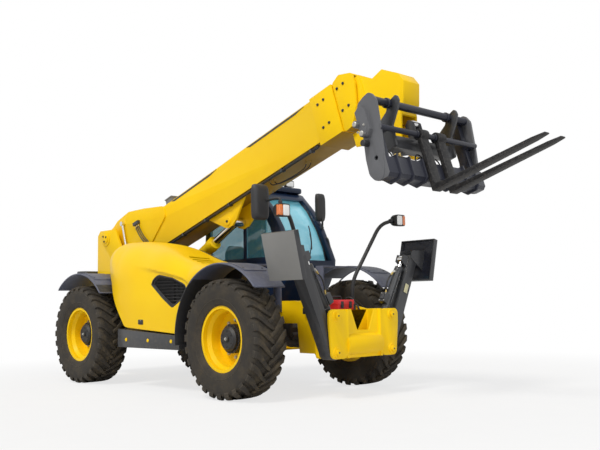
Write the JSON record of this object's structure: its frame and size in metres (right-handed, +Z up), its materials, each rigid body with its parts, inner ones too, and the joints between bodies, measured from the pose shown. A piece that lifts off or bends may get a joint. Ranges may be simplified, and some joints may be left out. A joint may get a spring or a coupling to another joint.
{
  "type": "telehandler",
  "caption": "Telescopic handler with a telescoping boom, fork carriage, front stabilisers, side engine pod, offset cab and four steered lugged wheels.",
  "frame": {"origin": "centre of the bounding box in plan, on the ground under the tyres", "axes": "+X forward along the boom, +Y to the operator's left, +Z up"},
  "size_m": [7.4534, 2.3, 3.358],
  "materials": {
    "yellow_paint": "gloss",
    "black_paint": "satin",
    "grey_paint": "satin",
    "cast": "painted",
    "steel_rod": "polished",
    "fork_steel": "satin",
    "hood_plastic": "gloss",
    "slate_plastic": "matte",
    "black_plastic": "matte",
    "red_plastic": "matte",
    "cab_glass": "clear",
    "lens": "clear",
    "tyre": "matte",
    "seat_fabric": "woven"
  },
  "bodies": {
    "chassis": {"main_frame": "yellow_paint", "counterweight": "cast", "tow_hitch": "cast", "front_axle": "cast", "rear_axle": "cast", "drive_line": "cast", "front_frame": "yellow_paint", "tool_box": "red_plastic", "engine": "cast", "engine_bay": "black_plastic", "side_sill": "black_plastic", "fuel_tank": "black_plastic", "front_fenders": "slate_plastic", "rear_fenders": "slate_plastic", "cab_shell": "black_paint", "cab_roof": "black_plastic", "cab_glass": "cab_glass", "cab_seat": "seat_fabric", "cab_dash": "black_plastic", "lamp_posts": "black_paint", "lamp_lenses": "lens", "mirrors": "black_plastic"},
    "door": {"door_frame": "black_paint", "door_glass": "cab_glass"},
    "hood": {"engine_hood": "hood_plastic", "hood_grille": "black_plastic"},
    "boom": {"boom_outer": "yellow_paint", "boom_tray": "yellow_paint"},
    "boom_mid": {"boom_middle": "yellow_paint"},
    "boom_tip": {"boom_inner": "yellow_paint"},
    "carriage": {"coupler": "grey_paint", "fork_frame": "grey_paint", "forks": "fork_steel"},
    "tilt_barrel": {"tilt_barrel": "grey_paint"},
    "tilt_rod": {"tilt_rod": "steel_rod"},
    "lift_barrel": {"lift_barrel": "yellow_paint"},
    "lift_rod": {"lift_rod": "steel_rod"},
    "comp_barrel": {"comp_barrel": "yellow_paint"},
    "comp_rod": {"comp_rod": "steel_rod"},
    "leg_left": {"leg_left": "grey_paint"},
    "stab_barrel_left": {"stab_barrel_left": "yellow_paint"},
    "stab_rod_left": {"stab_rod_left": "steel_rod"},
    "leg_right": {"leg_right": "grey_paint"},
    "stab_barrel_right": {"stab_barrel_right": "yellow_paint"},
    "stab_rod_right": {"stab_rod_right": "steel_rod"},
    "knuckle_front_left": {"knuckle_front_left": "cast"},
    "wheel_front_left": {"rim_front_left": "yellow_paint", "tyre_front_left": "tyre"},
    "knuckle_front_right": {"knuckle_front_right": "cast"},
    "wheel_front_right": {"rim_front_right": "yellow_paint", "tyre_front_right": "tyre"},
    "knuckle_rear_left": {"knuckle_rear_left": "cast"},
    "wheel_rear_left": {"rim_rear_left": "yellow_paint", "tyre_rear_left": "tyre"},
    "knuckle_rear_right": {"knuckle_rear_right": "cast"},
    "wheel_rear_right": {"rim_rear_right": "yellow_paint", "tyre_rear_right": "tyre"}
  },
  "joints": [
    {"name": "boom_lift", "type": "hinge", "parent": "chassis", "child": "boom", "pos_m": [-3.15671, 0, 1.94], "axis": [0, -1, 0], "range_deg": [-20.2, 50.8]},
    {"name": "boom_extend", "type": "slide", "parent": "boom", "child": "boom_mid", "axis": [0.9553, 0, 0.2957], "range_m": [0, 3.6]},
    {"name": "tip_extend", "type": "slide", "parent": "boom_mid", "child": "boom_tip", "axis": [0.9553, 0, 0.2957], "range_m": [0, 3.6]},
    {"name": "carriage_tilt", "type": "hinge", "parent": "boom_tip", "child": "carriage", "pos_m": [2.12346, 0, 2.46067], "axis": [0, 1, 0], "range_deg": [-15, 90]},
    {"name": "lift_swing", "type": "hinge", "parent": "chassis", "child": "lift_barrel", "pos_m": [-2.85671, 0, 0.8], "axis": [0, -1, 0], "range_deg": [-17.27, 42.66]},
    {"name": "lift_stroke", "type": "slide", "parent": "lift_barrel", "child": "lift_rod", "axis": [0.8881, 0, 0.4596], "range_m": [-0.36008, 0.89949]},
    {"name": "comp_swing", "type": "hinge", "parent": "chassis", "child": "comp_barrel", "pos_m": [-2.53671, 0, 1.2], "axis": [0, -1, 0], "range_deg": [-3.23, 7.36]},
    {"name": "comp_stroke", "type": "slide", "parent": "comp_barrel", "child": "comp_rod", "axis": [-0.2991, 0, 0.9542], "range_m": [-0.11929, 0.29393]},
    {"name": "tilt_swing", "type": "hinge", "parent": "boom_tip", "child": "tilt_barrel", "pos_m": [1.60696, 0, 2.68183], "axis": [0, 1, 0], "range_deg": [-4.25, 23]},
    {"name": "tilt_stroke", "type": "slide", "parent": "tilt_barrel", "child": "tilt_rod", "axis": [0.9989, 0, 0.0471], "range_m": [-0.04667, 0.26004]},
    {"name": "leg_left_swing", "type": "hinge", "parent": "chassis", "child": "leg_left", "pos_m": [1.39829, 0.418, 0.48], "axis": [-1, 0, 0], "range_deg": [0, 84]},
    {"name": "leg_right_swing", "type": "hinge", "parent": "chassis", "child": "leg_right", "pos_m": [1.39829, -0.418, 0.48], "axis": [1, 0, 0], "range_deg": [0, 84]},
    {"name": "stab_left_swing", "type": "hinge", "parent": "chassis", "child": "stab_barrel_left", "pos_m": [1.39829, 0.418, 0.842], "axis": [-1, 0, 0], "range_deg": [-0.5, 92.38]},
    {"name": "stab_left_stroke", "type": "slide", "parent": "stab_barrel_left", "child": "stab_rod_left", "axis": [0, 0.4857, 0.8741], "range_m": [-0.004, 0.473]},
    {"name": "stab_right_swing", "type": "hinge", "parent": "chassis", "child": "stab_barrel_right", "pos_m": [1.39829, -0.418, 0.842], "axis": [1, 0, 0], "range_deg": [-0.5, 92.38]},
    {"name": "stab_right_stroke", "type": "slide", "parent": "stab_barrel_right", "child": "stab_rod_right", "axis": [0, -0.4857, 0.8741], "range_m": [-0.004, 0.473]},
    {"name": "steer_front_left", "type": "hinge", "parent": "chassis", "child": "knuckle_front_left", "pos_m": [0.52829, 0.72, 0.62], "axis": [0, 0, 1], "range_deg": [-32, 32]},
    {"name": "roll_front_left", "type": "hinge", "parent": "knuckle_front_left", "child": "wheel_front_left", "pos_m": [0.52829, 0.945, 0.62], "axis": [0, 1, 0], "continuous": true},
    {"name": "steer_front_right", "type": "hinge", "parent": "chassis", "child": "knuckle_front_right", "pos_m": [0.52829, -0.72, 0.62], "axis": [0, 0, 1], "range_deg": [-32, 32]},
    {"name": "roll_front_right", "type": "hinge", "parent": "knuckle_front_right", "child": "wheel_front_right", "pos_m": [0.52829, -0.945, 0.62], "axis": [0, 1, 0], "continuous": true},
    {"name": "steer_rear_left", "type": "hinge", "parent": "chassis", "child": "knuckle_rear_left", "pos_m": [-2.44171, 0.72, 0.62], "axis": [0, 0, 1], "range_deg": [-32, 32]},
    {"name": "roll_rear_left", "type": "hinge", "parent": "knuckle_rear_left", "child": "wheel_rear_left", "pos_m": [-2.44171, 0.945, 0.62], "axis": [0, 1, 0], "continuous": true},
    {"name": "steer_rear_right", "type": "hinge", "parent": "chassis", "child": "knuckle_rear_right", "pos_m": [-2.44171, -0.72, 0.62], "axis": [0, 0, 1], "range_deg": [-32, 32]},
    {"name": "roll_rear_right", "type": "hinge", "parent": "knuckle_rear_right", "child": "wheel_rear_right", "pos_m": [-2.44171, -0.945, 0.62], "axis": [0, 1, 0], "continuous": true},
    {"name": "door_swing", "type": "hinge", "parent": "chassis", "child": "door", "pos_m": [-1.33571, 1.1103, 1.635], "axis": [0, 0, 1], "range_deg": [0, 100]},
    {"name": "hood_lift", "type": "hinge", "parent": "chassis", "child": "hood", "pos_m": [-0.95671, -0.445, 1.78], "axis": [-1, 0, 0], "range_deg": [0, 60]}
  ],
  "couplings": [
    {"joint": "tip_extend", "follows": "boom_extend", "ratio": 1},
    {"joint": "lift_swing", "follows": "boom_lift", "ratio": 0.83},
    {"joint": "lift_stroke", "follows": "boom_lift", "m_per_rad": 1.01},
    {"joint": "comp_swing", "follows": "boom_lift", "ratio": 0.135},
    {"joint": "comp_stroke", "follows": "boom_lift", "m_per_rad": 0.327},
    {"joint": "tilt_swing", "follows": "carriage_tilt", "ratio": 0.25},
    {"joint": "tilt_stroke", "follows": "carriage_tilt", "m_per_rad": 0.163},
    {"joint": "stab_left_swing", "follows": "leg_left_swing", "ratio": 1.0938},
    {"joint": "stab_left_stroke", "follows": "leg_left_swing", "m_per_rad": 0.3199},
    {"joint": "stab_right_swing", "follows": "leg_right_swing", "ratio": 1.0938},
    {"joint": "stab_right_stroke", "follows": "leg_right_swing", "m_per_rad": 0.3199},
    {"joint": "steer_front_right", "follows": "steer_front_left", "ratio": 1},
    {"joint": "steer_rear_right", "follows": "steer_rear_left", "ratio": 1}
  ]
}
